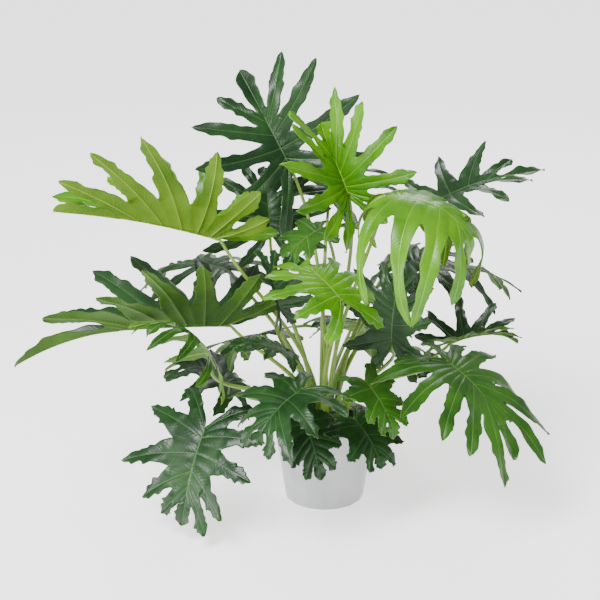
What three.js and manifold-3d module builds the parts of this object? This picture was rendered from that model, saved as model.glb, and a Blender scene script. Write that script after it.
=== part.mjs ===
// A potted split-leaf philodendron: a panelled white pot, its soil, and a clump of lobed leaves on stalks.
// Millimetres, +Z up. The origin is the middle of the pot's flat base, and -Y faces the viewer.
import * as THREE from 'three';
import { mergeVertices } from 'three/addons/utils/BufferGeometryUtils.js';
import Module from 'manifold-3d';

const wasm = await Module();
wasm.setup();

// Pot.
const RIM_RADIUS = 95;
const BASE_RADIUS = 72;
const POT_HEIGHT = 153;
const WALL = 3.6;
const FLOOR = 3;
const PANELS = 16;
const PANEL_TURN = -4; // degrees from the front to the nearest panel edge
const STEPS_PER_PANEL = 3;
const DRAINS = 6;
const DRAIN_RADIUS = 4.5;
const DRAIN_RING = 46;

// Soil.
const SOIL_TOP = 137;
const SOIL_CROWN = 5;
const SOIL_SIDES = 24;
const SOIL_RINGS = 3;
const LUMP = 1.2;

// Where two pieces touch, this much air is left between them.
const SEAT_GAP = 0.3;

// Stalks.
const ROOT_RINGS = [10, 23, 37]; // radii of the three rings of stalks, youngest inside
const ROOTS_PER_RING = [6, 9]; // the outer ring takes the rest
const ROOT_DEPTH = 22;
const STALK_FOOT = [4.2, 5.0, 5.4]; // radius at the soil, for each ring
const STALK_TOP = 2.7;
const STALK_SIDES = 5;
const STALK_STEPS = 7;
const HOLE_SIDES = 6;

// Blades.
const EDGE_THICK = 0.8;
const RIB_THICK = 1.3;
const NECK_LONG = 9;
const NECK_HALF = 2;
const HEEL_LONG = 6; // the least distance from the heel to the first veins
const WAVE = 3.5; // how far a free margin swings up and down
const TIP_BROADER = 0.45; // the tip lobe's outer part is broader than the others' by this share
const SHOULDER = 0.6; // the share of a free lobe over which it narrows from the web to its strap

// How each kind of leaf is cut, with its side lobes listed from the heel forward. start is where a vein
// leaves the midrib, as a share of its length, and angle is the vein's angle to it. reach is the vein's
// length as a share of the blade's reach. cut is where along the lobe the gap after it ends, and strap is
// the lobe's half width in mm. rows are the places along a lobe, beyond its cuts, where its width is set.
const CUTS = {
  deep: {
    start: [0, 0.08, 0.2, 0.36, 0.52],
    angle: [150, 116, 88, 64, 42],
    reach: [0.78, 1, 1, 0.88, 0.66],
    cut: [0.24, 0.2, 0.2, 0.22, 0.3],
    tipStart: 0.62,
    strap: 10.5,
    rows: [0.25, 0.75],
  },
  palm: {
    start: [0, 0.05, 0.12, 0.2, 0.3, 0.42],
    angle: [150, 122, 96, 72, 50, 28],
    reach: [0.62, 0.85, 1, 1, 0.95, 0.85],
    cut: [0.34, 0.32, 0.32, 0.34, 0.36, 0.42],
    tipStart: 0.52,
    strap: 11.5,
    rows: [0.25, 0.75],
  },
  hanging: {
    start: [0, 0.08, 0.2, 0.36, 0.52],
    angle: [150, 116, 88, 64, 42],
    reach: [0.7, 0.95, 1, 0.95, 0.75],
    cut: [0.26, 0.22, 0.22, 0.24, 0.3],
    tipStart: 0.62,
    strap: 8.5,
    rows: [0.15, 0.42, 0.78],
  },
  adult: {
    start: [0, 0.11, 0.26, 0.43, 0.58],
    angle: [142, 108, 80, 60, 42],
    reach: [0.74, 0.94, 1, 0.86, 0.62],
    cut: [0.44, 0.4, 0.4, 0.42, 0.5],
    tipStart: 0.68,
    strap: 15,
    rows: [0.25, 0.7],
  },
  broad: {
    start: [0, 0.17, 0.36, 0.56],
    angle: [138, 98, 68, 46],
    reach: [0.76, 1, 0.94, 0.72],
    cut: [0.62, 0.6, 0.58, 0.62],
    tipStart: 0.68,
    strap: 17,
    rows: [0.25, 0.68],
  },
};

// The leaves, each with its heel, where the stalk meets the blade, and the end of its midrib. reach is the
// length of the longest lobe, roll turns the blade about its midrib, fold lifts both halves, and bow arches
// the midrib as a share of its length. limp is how far the lobes hang, in radians, and crowd draws the lobes
// towards the heel.
const leaf = (name, cut, heel, tip, reach, bends = {}) => {
  return { name, cut, heel, tip, reach, roll: 0, fold: 10, bow: 0.08, limp: 0.6, crowd: 1, ...bends };
};
const LEAVES = [
  leaf('top_left', 'deep', [-65, 140, 595], [-155, 240, 745], 180, {
    roll: 40,
    fold: 25,
    limp: 0.4,
    crowd: 0.8,
  }),
  leaf('left_raised', 'palm', [-185, -40, 508], [-490, -40, 558], 190, {
    roll: -20,
    fold: 50,
    bow: 0.03,
    limp: 0.3,
    crowd: 1.1,
  }),
  leaf('crown', 'palm', [40, -18, 580], [-15, 35, 695], 154, { roll: 32, fold: 47, limp: 0.3 }),
  leaf('right_hanging', 'hanging', [100, -121, 610], [250, -172, 465], 221, {
    roll: -12,
    fold: 0,
    bow: 0.3,
    limp: 1.6,
  }),
  leaf('top_right', 'deep', [190, 130, 520], [405, 160, 575], 128, { roll: -12, fold: 15, limp: 0.3 }),
  leaf('centre', 'adult', [25, -190, 445], [-50, -100, 490], 122, { fold: 12, bow: 0.05, limp: 0.9 }),
  leaf('far_left', 'palm', [-170, -30, 345], [-545, -70, 325], 184, {
    roll: -10,
    fold: 50,
    bow: 0.02,
    limp: 0.3,
  }),
  leaf('mid_left', 'adult', [-80, -85, 390], [-120, -75, 495], 70, { roll: 20, fold: 30, limp: 0.4 }),
  leaf('left_drooping', 'hanging', [-200, -98, 305], [-310, -155, 400], 124, {
    fold: 0,
    bow: 0.15,
    limp: 1.5,
  }),
  leaf('low_left', 'adult', [-210, -140, 195], [-250, -205, 25], 132, { fold: 8, limp: 0.5 }),
  leaf('low_left_back', 'adult', [-165, 30, 205], [-295, 50, 245], 115, { limp: 0.7 }),
  leaf('low_centre', 'adult', [-40, -200, 290], [-120, -260, 210], 125, { bow: 0.12 }),
  leaf('mid_centre', 'adult', [-65, -98, 320], [-170, -121, 340], 73),
  leaf('pot_left', 'broad', [-45, -125, 215], [-10, -168, 100], 74, { limp: 0.4 }),
  leaf('pot_right', 'broad', [50, -112, 200], [100, -165, 125], 72, { limp: 0.5 }),
  leaf('low_right', 'palm', [210, -120, 310], [320, -205, 170], 172, { fold: 5, bow: 0.12, limp: 0.6 }),
  leaf('mid_right', 'deep', [235, 70, 275], [360, 70, 285], 110, { fold: 35, limp: 0.4 }),
  leaf('dark_right', 'adult', [120, -20, 300], [140, 10, 450], 110, { fold: 15, limp: 0.5 }),
  leaf('small_right', 'broad', [68, -115, 272], [122, -168, 188], 68, { limp: 0.5 }),
  leaf('heart', 'broad', [-5, 5, 515], [-75, -38, 465], 64, { limp: 0.4 }),
  leaf('inner_right', 'adult', [140, 130, 400], [250, 160, 420], 130),
  leaf('inner_left', 'deep', [-100, 140, 465], [-115, 230, 575], 128, { limp: 0.5 }),
  leaf('back_top', 'deep', [10, 200, 520], [50, 400, 540], 152, { limp: 0.6 }),
  leaf('back_right', 'deep', [195, 230, 365], [365, 360, 300], 160, { limp: 0.8 }),
  leaf('back_left', 'deep', [-180, 210, 370], [-350, 340, 320], 165, { limp: 0.8 }),
  leaf('back_low_right', 'adult', [60, 235, 260], [105, 390, 130], 125, { limp: 0.7 }),
  leaf('back_low_left', 'adult', [-115, 210, 240], [-195, 345, 120], 125, { limp: 0.7 }),
  leaf('right_low_back', 'adult', [210, 100, 220], [350, 150, 90], 130, { limp: 0.7 }),
];

const UP = new THREE.Vector3(0, 0, 1);
const DEGREE = Math.PI / 180;

// Colours and finishes.
const FINISHES = {
  pot: { color: 0xe4e5e6, roughness: 0.5, metalness: 0 },
  soil: { color: 0x33241b, roughness: 0.95, metalness: 0 },
  youngBlade: { color: 0x6ba51c, roughness: 0.35, metalness: 0 },
  adultBlade: { color: 0x2f6a2a, roughness: 0.35, metalness: 0 },
  stalk: { color: 0x8ea84a, roughness: 0.5, metalness: 0 },
};
const YOUNG = ['left_raised', 'crown', 'right_hanging', 'centre'];

const plant = new THREE.Group();

function add(name, geometry, finish) {
  const mesh = new THREE.Mesh(geometry, new THREE.MeshStandardMaterial(FINISHES[finish]));
  mesh.name = name;
  plant.add(mesh);
}

// A closed geometry with its shared vertices merged, as a solid for cutting.
function solid(geometry) {
  geometry.deleteAttribute('normal');
  geometry.deleteAttribute('uv');
  const merged = mergeVertices(geometry, 1e-4);
  return new wasm.Manifold(
    new wasm.Mesh({
      numProp: 3,
      vertProperties: Float32Array.from(merged.attributes.position.array),
      triVerts: Uint32Array.from(merged.index.array),
    }),
  );
}

function geometryOf(body) {
  const mesh = body.getMesh();
  const geometry = new THREE.BufferGeometry();
  geometry.setAttribute('position', new THREE.BufferAttribute(mesh.vertProperties, 3));
  geometry.setIndex(new THREE.BufferAttribute(mesh.triVerts, 1));
  geometry.computeVertexNormals();
  return geometry;
}

// A number between -1 and 1 that is always the same for one leaf, lobe and purpose.
function vary(leaf, lobe, purpose) {
  const k = leaf * 71 + lobe * 37 + purpose * 11 + 13;
  return ((k * k * k + 7 * k) % 1009) / 504 - 1;
}

function lathe(profile, sides) {
  const points = profile.map(([radius, z]) => new THREE.Vector2(radius, z));
  return new THREE.LatheGeometry(points, sides).rotateX(Math.PI / 2);
}

function upright(radius, bottom, top, sides, x, y) {
  return new THREE.CylinderGeometry(radius, radius, top - bottom, sides)
    .rotateX(Math.PI / 2)
    .translate(x, y, (top + bottom) / 2);
}

// The outer wall's radius at a height.
function potRadius(z) {
  return BASE_RADIUS + ((RIM_RADIUS - BASE_RADIUS) * z) / POT_HEIGHT;
}

// The pot: a tapered cup whose outer wall has flat panels below a round rim.
function potSolid() {
  const foot = 2;
  const lip = 6;
  const lipThick = 1.2;
  const profile = [
    [0, 0],
    [BASE_RADIUS - foot, 0],
    [potRadius(foot), foot],
    [potRadius(POT_HEIGHT - lip), POT_HEIGHT - lip],
    [potRadius(POT_HEIGHT - lip) + lipThick, POT_HEIGHT - lip + 1],
    [RIM_RADIUS, POT_HEIGHT - 1],
    [RIM_RADIUS - 1, POT_HEIGHT],
    [RIM_RADIUS - WALL + 1, POT_HEIGHT],
    [RIM_RADIUS - WALL, POT_HEIGHT - 1],
    [potRadius(FLOOR) - WALL, FLOOR],
    [0, FLOOR],
  ];
  const geometry = lathe(profile, PANELS * STEPS_PER_PANEL).rotateZ((PANEL_TURN - 90) * DEGREE);
  const place = geometry.attributes.position;
  const half = Math.PI / PANELS;
  for (let i = 0; i < place.count; i++) {
    const x = place.getX(i);
    const y = place.getY(i);
    const z = place.getZ(i);
    const radius = Math.hypot(x, y);
    const panelled = z > 0 && z < POT_HEIGHT - lip + 0.5 && radius > potRadius(z) - 1;
    if (panelled) {
      const turn = Math.atan2(y, x) - (PANEL_TURN - 90) * DEGREE;
      const across = (((turn % (2 * half)) + 2 * half) % (2 * half)) - half;
      const flat = Math.cos(half) / Math.cos(across);
      place.setXYZ(i, x * flat, y * flat, z);
    }
  }
  let pot = solid(geometry);
  for (let i = 0; i < DRAINS; i++) {
    const turn = ((i + 0.5) * 2 * Math.PI) / DRAINS;
    const x = DRAIN_RING * Math.cos(turn);
    const y = DRAIN_RING * Math.sin(turn);
    pot = pot.subtract(solid(upright(DRAIN_RADIUS, -1, FLOOR + 1, 10, x, y)));
  }
  return pot;
}

// The height of the soil at a distance from the middle.
function soilHeight(radius, turn) {
  const share = radius / potRadius(SOIL_TOP);
  const lumps = LUMP * Math.sin(5 * turn + radius / 9) * Math.sin(3 * turn - radius / 14) * share;
  return SOIL_TOP + SOIL_CROWN * (1 - share * share) + lumps;
}

// The soil fills the pot to below the rim, with a plain hole for each stalk.
function soilSolid(roots) {
  const clear = WALL + 0.6;
  const bottom = FLOOR + SEAT_GAP;
  const outer = potRadius(SOIL_TOP) - clear;
  const profile = [[0, bottom], [potRadius(bottom) - clear, bottom]];
  for (let i = 0; i < SOIL_RINGS; i++) {
    profile.push([outer * (1 - i / SOIL_RINGS), SOIL_TOP]);
  }
  profile.push([0, SOIL_TOP]);
  const geometry = lathe(profile, SOIL_SIDES);
  const place = geometry.attributes.position;
  for (let i = 0; i < place.count; i++) {
    if (place.getZ(i) > SOIL_TOP - 1) {
      const x = place.getX(i);
      const y = place.getY(i);
      place.setZ(i, soilHeight(Math.hypot(x, y), Math.atan2(y, x)));
    }
  }
  let soil = solid(geometry);
  for (const root of roots.values()) {
    const radius = root.radius / Math.cos(Math.PI / HOLE_SIDES) + SEAT_GAP;
    const depth = SOIL_TOP - ROOT_DEPTH;
    soil = soil.subtract(solid(upright(radius, depth, POT_HEIGHT, HOLE_SIDES, root.x, root.y)));
  }
  return soil;
}

// Roots stand in three rings, those of the steepest stalks inside. Round each ring they stand evenly, in the
// order in which their heels lie round the plant, so that no two stalks cross.
function rootsFor(leaves) {
  const lean = ({ heel }) => Math.hypot(heel[0], heel[1]) / (heel[2] - SOIL_TOP);
  const bearing = ({ heel }) => Math.atan2(heel[1], heel[0]);
  const steepFirst = [...leaves].sort((a, b) => lean(a) - lean(b));
  const roots = new Map();
  ROOT_RINGS.forEach((ringRadius, ring) => {
    const members = steepFirst.splice(0, ROOTS_PER_RING[ring] ?? leaves.length);
    members.sort((a, b) => bearing(a) - bearing(b));
    const step = (2 * Math.PI) / members.length;
    const lags = members.map((member, slot) => bearing(member) - slot * step);
    const drift = lags.reduce((sum, lag) => sum + lag, 0) / members.length;
    members.forEach((member, slot) => {
      const turn = drift + slot * step;
      const [x, y] = [ringRadius * Math.cos(turn), ringRadius * Math.sin(turn)];
      roots.set(member, { x, y, radius: STALK_FOOT[ring] });
    });
  });
  return roots;
}

// The blade's own frame: its midrib curve, and the directions along, across and out of it.
function bladeFrame(leaf) {
  const heel = new THREE.Vector3(...leaf.heel);
  const chord = new THREE.Vector3(...leaf.tip).sub(heel);
  const long = chord.length();
  const along = chord.clone().divideScalar(long);
  const level = UP.clone().addScaledVector(along, -UP.dot(along)).normalize();
  const levelLeft = level.clone().cross(along);
  const roll = leaf.roll * DEGREE;
  const out = level.multiplyScalar(Math.cos(roll)).addScaledVector(levelLeft, Math.sin(roll));
  const left = out.clone().cross(along);
  const arch = leaf.bow * long;
  return {
    long,
    left,
    point: (s) => heel.clone().addScaledVector(chord, s).addScaledVector(out, 4 * arch * s * (1 - s)),
    forward: (s) => chord.clone().addScaledVector(out, 4 * arch * (1 - 2 * s)).normalize(),
    out: (s) => {
      const forward = chord.clone().addScaledVector(out, 4 * arch * (1 - 2 * s)).normalize();
      return forward.cross(left);
    },
  };
}

// A lobe's vein, with the lobe's own directions along it. Side 1 is left of the midrib, -1 is right of it
// and 0 is the tip lobe.
function vein(leaf, number, frame, lobe) {
  const forward = frame.forward(lobe.start);
  const out = frame.out(lobe.start);
  const fold = leaf.fold * DEGREE;
  const lateral = frame.left.clone().multiplyScalar(lobe.side * Math.cos(fold));
  lateral.addScaledVector(out, Math.sin(fold));
  const angle = lobe.angle * (1 + 0.045 * vary(number, lobe.slot, 1)) * DEGREE;
  const along = forward.clone().multiplyScalar(Math.cos(angle));
  along.addScaledVector(lateral, Math.sin(angle)).normalize();
  const face = out.clone().multiplyScalar(Math.cos(fold));
  face.addScaledVector(frame.left, -lobe.side * Math.sin(fold)).normalize();
  const across = face.clone().cross(along).normalize();
  const normal = along.clone().cross(across);
  const reach = lobe.reach * (1 + 0.14 * vary(number, lobe.slot, 2));
  const limp = leaf.limp + 0.25 * vary(number, lobe.slot, 3);
  const bend = Math.max(0.05, limp * Math.max(0.15, normal.z + 0.2));
  const curl = 0.12 * lobe.side + 0.08 * vary(number, lobe.slot, 6);
  const origin = frame.point(lobe.start);
  return {
    reach,
    across,
    point: (t) =>
      origin
        .clone()
        .addScaledVector(along, (reach * Math.sin(bend * t)) / bend)
        .addScaledVector(normal, (-reach * (1 - Math.cos(bend * t))) / bend)
        .addScaledVector(across, -curl * reach * t * t),
    out: (t) => {
      return normal.clone().multiplyScalar(Math.cos(bend * t)).addScaledVector(along, Math.sin(bend * t));
    },
  };
}

// The lobes of a leaf in order round its outline, from the left of the heel past the tip to the right.
function lobesOf(leaf, number, frame) {
  const cuts = CUTS[leaf.cut];
  const pairs = cuts.start.length;
  const lobes = [];
  for (let slot = 0; slot <= 2 * pairs; slot++) {
    const side = Math.sign(pairs - slot);
    const pair = Math.min(slot, 2 * pairs - slot);
    const isTip = side === 0;
    const lobe = {
      slot,
      side,
      start: Math.max(HEEL_LONG / frame.long, leaf.crowd * (isTip ? cuts.tipStart : cuts.start[pair])),
      angle: isTip ? 0 : cuts.angle[pair],
      reach: isTip ? frame.long * (1 - leaf.crowd * cuts.tipStart) : leaf.reach * cuts.reach[pair],
      fold: isTip ? leaf.fold * DEGREE : 0,
      strap: cuts.strap * Math.min(1.25, Math.max(0.6, leaf.reach / 150)),
      broader: isTip ? TIP_BROADER : 0,
      wave: WAVE * Math.min(1, leaf.reach / 130),
    };
    lobes.push({ ...lobe, vein: vein(leaf, number, frame, lobe) });
  }
  // Where each gap ends along the lobes beside it. Beside the tip lobe both places are level.
  lobes.forEach((lobe, slot) => {
    lobe.cutBefore = slot === 0 ? 0 : cuts.cut[Math.min(slot - 1, 2 * pairs - slot)];
    lobe.cutAfter = slot === 2 * pairs ? 0 : cuts.cut[Math.min(slot, 2 * pairs - 1 - slot)];
  });
  const tip = lobes[pairs];
  const beside = lobes[pairs - 1];
  const level = beside.cutAfter * beside.reach * Math.cos(beside.angle * DEGREE);
  tip.cutBefore = Math.max(0.06, ((beside.start - tip.start) * frame.long + level) / tip.reach);
  tip.cutAfter = tip.cutBefore;
  return lobes;
}

// A lobe's half width as a share of its strap, for u from 0 at the cuts to 1 at the lobe's end.
function strapShare(u) {
  return (0.72 + 0.5 * u) * (1 - u ** 5) ** 0.8;
}

const middle = (a, b) => a.clone().add(b).multiplyScalar(0.5);

// A blade: the same sheet of triangles twice, as the upper and the lower face, joined by a thin wall round
// the outline. Every lobe has rows of three points, on its left margin, its vein and its right margin.
function bladeGeometry(leaf, number) {
  const frame = bladeFrame(leaf);
  const lobes = lobesOf(leaf, number, frame);
  const cuts = CUTS[leaf.cut];
  const pairs = cuts.start.length;
  const points = [];
  const keep = (at, out, thick) => points.push({ at, out: out.clone().normalize(), thick }) - 1;

  // Midrib, heel and neck.
  const heelOut = frame.out(0);
  const heelAt = frame.point(0);
  const way = stalkDirection(leaf, frame);
  const neckAt = heelAt.clone().addScaledVector(way, -NECK_LONG);
  const heelSide = (side) => {
    const fold = leaf.fold * DEGREE;
    const aside = frame.left.clone().multiplyScalar(side * Math.cos(fold));
    aside.addScaledVector(heelOut, Math.sin(fold));
    return keep(heelAt.clone().addScaledVector(aside, NECK_HALF), heelOut, RIB_THICK);
  };
  const heelLeft = heelSide(1);
  const heelRight = heelSide(-1);
  const neckOut = way.clone().cross(frame.left).normalize();
  const neckSide = neckOut.clone().cross(way);
  const neckLeft = keep(neckAt.clone().addScaledVector(neckSide, NECK_HALF), neckOut, 2.4 * NECK_HALF);
  const neckRight = keep(neckAt.clone().addScaledVector(neckSide, -NECK_HALF), neckOut, 2.4 * NECK_HALF);
  const ribThick = (s) => RIB_THICK + 2 * (1 - s);
  const starts = lobes.slice(0, pairs + 1).map((lobe) => lobe.start);
  const rib = (s) => keep(frame.point(s), frame.out(s), ribThick(s));
  const ribs = starts.map(rib);
  const between = starts.slice(1).map((s, pair) => rib((s + starts[pair]) / 2));

  // The bottom of each gap between two lobes.
  const gaps = [];
  for (let slot = 0; slot < 2 * pairs; slot++) {
    const [one, other] = [lobes[slot], lobes[slot + 1]];
    const at = middle(one.vein.point(one.cutAfter), other.vein.point(other.cutBefore));
    const out = middle(one.vein.out(one.cutAfter), other.vein.out(other.cutBefore));
    gaps.push(keep(at, out, EDGE_THICK));
  }

  const triangles = [];
  const outline = [heelLeft];
  const strip = (row, next) => {
    triangles.push([row[0], next[0], next[1]], [row[0], next[1], row[1]]);
    triangles.push([row[1], next[1], row[2]], [row[2], next[1], next[2]]);
  };
  for (const lobe of lobes) {
    const pair = Math.min(lobe.slot, 2 * pairs - lobe.slot);
    const first = lobe.slot === 0;
    const last = lobe.slot === 2 * pairs;
    const cut = (lobe.cutBefore + lobe.cutAfter) / (first || last ? 1 : 2);
    const edge = (t, side, share, web = 0) => {
      const half = lobe.strap * share * (1 + lobe.broader * Math.min(1, 1.5 * t)) + web;
      const swing = lobe.wave * Math.sin(7 * t + 2 * side + 5 * vary(number, lobe.slot, 4));
      return lobe.vein
        .point(t)
        .addScaledVector(lobe.vein.across, side * half * Math.cos(lobe.fold))
        .addScaledVector(lobe.vein.out(t), swing + half * Math.sin(lobe.fold));
    };
    const rows = [
      [
        first ? heelLeft : between[Math.min(lobe.slot - 1, 2 * pairs - lobe.slot)],
        ribs[pair],
        last ? heelRight : between[Math.min(lobe.slot, 2 * pairs - 1 - lobe.slot)],
      ],
      [
        first ? keep(edge(cut, 1, 0.6), lobe.vein.out(cut), EDGE_THICK) : gaps[lobe.slot - 1],
        keep(lobe.vein.point(cut), lobe.vein.out(cut), RIB_THICK),
        last ? keep(edge(cut, -1, 0.6), lobe.vein.out(cut), EDGE_THICK) : gaps[lobe.slot],
      ],
    ];
    // The web between two lobes runs out along them, so that each gap starts as a narrow slit.
    const webAt = (place) => Math.max(0, points[place].at.distanceTo(lobe.vein.point(cut)) - lobe.strap);
    const [webLeft, webRight] = [webAt(rows[1][0]), webAt(rows[1][2])];
    for (const u of cuts.rows) {
      const t = cut + (1 - cut) * u;
      const fade = Math.max(0, 1 - u / SHOULDER) ** 1.5;
      rows.push([
        keep(edge(t, 1, strapShare(u), webLeft * fade), lobe.vein.out(t), EDGE_THICK),
        keep(lobe.vein.point(t), lobe.vein.out(t), RIB_THICK),
        keep(edge(t, -1, strapShare(u), webRight * fade), lobe.vein.out(t), EDGE_THICK),
      ]);
    }
    const tip = keep(lobe.vein.point(1), lobe.vein.out(1), EDGE_THICK);
    for (let i = 0; i + 1 < rows.length; i++) {
      strip(rows[i], rows[i + 1]);
    }
    const end = rows[rows.length - 1];
    triangles.push([end[0], tip, end[1]], [end[1], tip, end[2]]);
    outline.push(...rows.slice(first ? 1 : 2).map((row) => row[0]), tip);
    outline.push(...rows.slice(1).reverse().map((row) => row[2]));
  }
  outline.push(heelRight, neckRight, neckLeft);
  triangles.push([heelLeft, ribs[0], heelRight]);
  triangles.push([heelLeft, heelRight, neckRight], [heelLeft, neckRight, neckLeft]);
  return sheetGeometry(points, triangles, outline);
}

// Two like sheets of triangles and the wall between them.
function sheetGeometry(points, triangles, outline) {
  const count = points.length;
  const places = new Float32Array(count * 6);
  points.forEach(({ at, out, thick }, i) => {
    at.clone().addScaledVector(out, thick / 2).toArray(places, 3 * i);
    at.clone().addScaledVector(out, -thick / 2).toArray(places, 3 * (i + count));
  });
  const index = [];
  for (const [a, b, c] of triangles) {
    index.push(a, c, b, a + count, b + count, c + count);
  }
  outline.forEach((a, i) => {
    const b = outline[(i + 1) % outline.length];
    index.push(a, b, a + count, b, b + count, a + count);
  });
  const geometry = new THREE.BufferGeometry();
  geometry.setAttribute('position', new THREE.BufferAttribute(places, 3));
  geometry.setIndex(index);
  geometry.computeVertexNormals();
  return geometry;
}

// The direction in which a stalk arrives at its blade: on from its root, but always from under the blade.
function stalkDirection(leaf, frame) {
  const heel = frame.point(0);
  const way = heel.clone().sub(new THREE.Vector3(0, 0, SOIL_TOP)).normalize();
  const out = Math.max(0.5, way.dot(frame.out(0)));
  const forward = Math.max(0.3, way.dot(frame.forward(0)));
  return frame.out(0).multiplyScalar(out).addScaledVector(frame.forward(0), forward).normalize();
}

// A stalk: a tapered rod, bent along a curve that stands upright in the soil and runs on into the blade's
// neck.
function stalkGeometry(leaf, root) {
  const frame = bladeFrame(leaf);
  const way = stalkDirection(leaf, frame);
  const end = frame.point(0).addScaledVector(way, -NECK_LONG - SEAT_GAP);
  const foot = new THREE.Vector3(root.x, root.y, SOIL_TOP - ROOT_DEPTH + SEAT_GAP);
  const collar = new THREE.Vector3(root.x, root.y, SOIL_TOP + SOIL_CROWN + 3);
  const span = end.distanceTo(collar);
  const curve = new THREE.CurvePath();
  curve.add(new THREE.LineCurve3(foot, collar));
  curve.add(
    new THREE.CubicBezierCurve3(
      collar,
      collar.clone().addScaledVector(UP, 0.4 * span),
      end.clone().addScaledVector(way, -0.3 * span),
      end,
    ),
  );
  return bentRod(curve, root.radius);
}

function bentRod(curve, footRadius) {
  const rod = new THREE.CylinderGeometry(1, 1, 1, STALK_SIDES, STALK_STEPS);
  const place = rod.attributes.position;
  const [rise, arc] = curve.curves;
  for (let i = 0; i < place.count; i++) {
    const step = Math.round((place.getY(i) + 0.5) * STALK_STEPS);
    const share = Math.max(0, step - 1) / (STALK_STEPS - 1);
    const at = step === 0 ? rise.getPoint(0) : arc.getPoint(share);
    const along = step <= 1 ? UP.clone() : arc.getTangent(share);
    const across = new THREE.Vector3(0, 1, 0).cross(along).normalize();
    const other = along.clone().cross(across);
    const radius = footRadius + (STALK_TOP - footRadius) * share;
    at.addScaledVector(across, radius * place.getZ(i)).addScaledVector(other, radius * place.getX(i));
    place.setXYZ(i, at.x, at.y, at.z);
  }
  return rod;
}

const roots = rootsFor(LEAVES);
add('pot', geometryOf(potSolid()), 'pot');
add('soil', geometryOf(soilSolid(roots)), 'soil');
LEAVES.forEach((leaf, i) => {
  add(`${leaf.name}_stalk`, stalkGeometry(leaf, roots.get(leaf)), 'stalk');
  const finish = YOUNG.includes(leaf.name) ? 'youngBlade' : 'adultBlade';
  add(`${leaf.name}_blade`, bladeGeometry(leaf, i), finish);
});

export default plant;
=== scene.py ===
# %% [markdown]
# # A potted split-leaf philodendron
# This lesson dresses a finished CAD frame of a house plant. The frame already has the pot, the soil and a
# stalk and a blade for every leaf, as plain solids. Here each of them gets a finer piece in the same place:
# ruffled, veined leaves, grooved stalks, crumbly soil and a moulded plastic pot. Everything is in metres,
# +Z is up, and the pot's base stands at the origin.

import math

import bmesh
import bpy
import numpy as np
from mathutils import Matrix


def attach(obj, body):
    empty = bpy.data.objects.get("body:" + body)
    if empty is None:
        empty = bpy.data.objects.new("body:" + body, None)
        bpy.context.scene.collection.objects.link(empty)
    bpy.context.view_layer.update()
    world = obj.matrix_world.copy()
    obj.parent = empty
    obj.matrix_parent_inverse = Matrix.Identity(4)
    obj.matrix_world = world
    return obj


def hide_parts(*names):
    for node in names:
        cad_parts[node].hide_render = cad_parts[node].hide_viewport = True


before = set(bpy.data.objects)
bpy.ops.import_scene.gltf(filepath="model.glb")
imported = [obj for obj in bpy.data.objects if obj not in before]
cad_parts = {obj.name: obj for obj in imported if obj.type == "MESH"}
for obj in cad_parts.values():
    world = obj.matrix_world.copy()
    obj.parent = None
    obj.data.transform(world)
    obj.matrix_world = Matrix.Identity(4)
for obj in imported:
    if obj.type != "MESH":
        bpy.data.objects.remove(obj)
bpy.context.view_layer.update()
MM = 0.001
print("frame nodes:", len(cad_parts))

# %% [markdown]
# ## The camera
# The photograph was taken from a little above the plant with a long lens. From the ellipse of the pot's
# rim, its distance and its tilt can be worked out, and a camera object with the same place, tilt and lens
# then sees the plant as the photograph does.

# %% Place the camera
CAMERA_PLACE = (-0.045, -2.9, 1.38)
CAMERA_TILT = 19.0  # degrees down from level
CAMERA_LENS = 102.66  # mm
SENSOR_WIDE = 36.0  # mm

camera_data = bpy.data.cameras.new("camera")
camera_data.lens = CAMERA_LENS
camera_data.sensor_width = SENSOR_WIDE
camera = bpy.data.objects.new("camera", camera_data)
camera.location = CAMERA_PLACE
camera.rotation_euler = (math.radians(90 - CAMERA_TILT), 0, 0)
bpy.context.scene.collection.objects.link(camera)
bpy.context.scene.camera = camera
print("camera at", CAMERA_PLACE)

# %% [markdown]
# ## Studio floor and light
# The photograph is a product picture on white. A wide pale floor under an even, very large lamp gives that
# background, with soft shadows. A disc of light high on the left models the leaves, a low one at the left
# brings out the panels of the pot, and one behind the plant makes the thin leaves glow a little. The world
# only fills the shadows.

# %% Set the lights
def add_light(name, place, aim, size, power):
    """A disc of light at a place, turned to shine at its aim."""
    data = bpy.data.lights.new(name, "AREA")
    data.shape = "DISK"
    data.size = size
    data.energy = power
    lamp = bpy.data.objects.new(name, data)
    lamp.location = place
    direction = np.array(aim, float) - np.array(place, float)
    flat = math.hypot(direction[0], direction[1])
    lamp.rotation_euler = (math.atan2(flat, -direction[2]), 0, math.atan2(-direction[0], direction[1]))
    bpy.context.scene.collection.objects.link(lamp)


add_light("key light", (-1.2, -1.9, 2.8), (0, 0, 0.45), 1.1, 84)
add_light("side light", (-2.2, -0.9, 0.45), (0, 0, 0.15), 0.6, 26)
add_light("back light", (0.5, 2.2, 2.2), (0, 0, 0.5), 1.2, 30)

SKY_POWER = 2.9
SKY_SOFTNESS = 30  # degrees across, so that its shadows have no hard edge
SKY_TURN = (30, -26, 0)

sky_data = bpy.data.lights.new("even light", "SUN")
sky_data.energy = SKY_POWER
sky_data.angle = math.radians(SKY_SOFTNESS)
sky = bpy.data.objects.new("even light", sky_data)
sky.rotation_euler = [math.radians(turn) for turn in SKY_TURN]
bpy.context.scene.collection.objects.link(sky)
print("lights:", [light.name for light in bpy.data.lights])

# %% Fill the shadows
WORLD_POWER = 0.5

world = bpy.data.worlds.new("studio")
bpy.context.scene.world = world
world.use_nodes = True
background = world.node_tree.nodes["Background"]
background.inputs["Color"].default_value = (1.0, 1.0, 1.0, 1.0)
background.inputs["Strength"].default_value = WORLD_POWER
print("world:", world.name)

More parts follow.
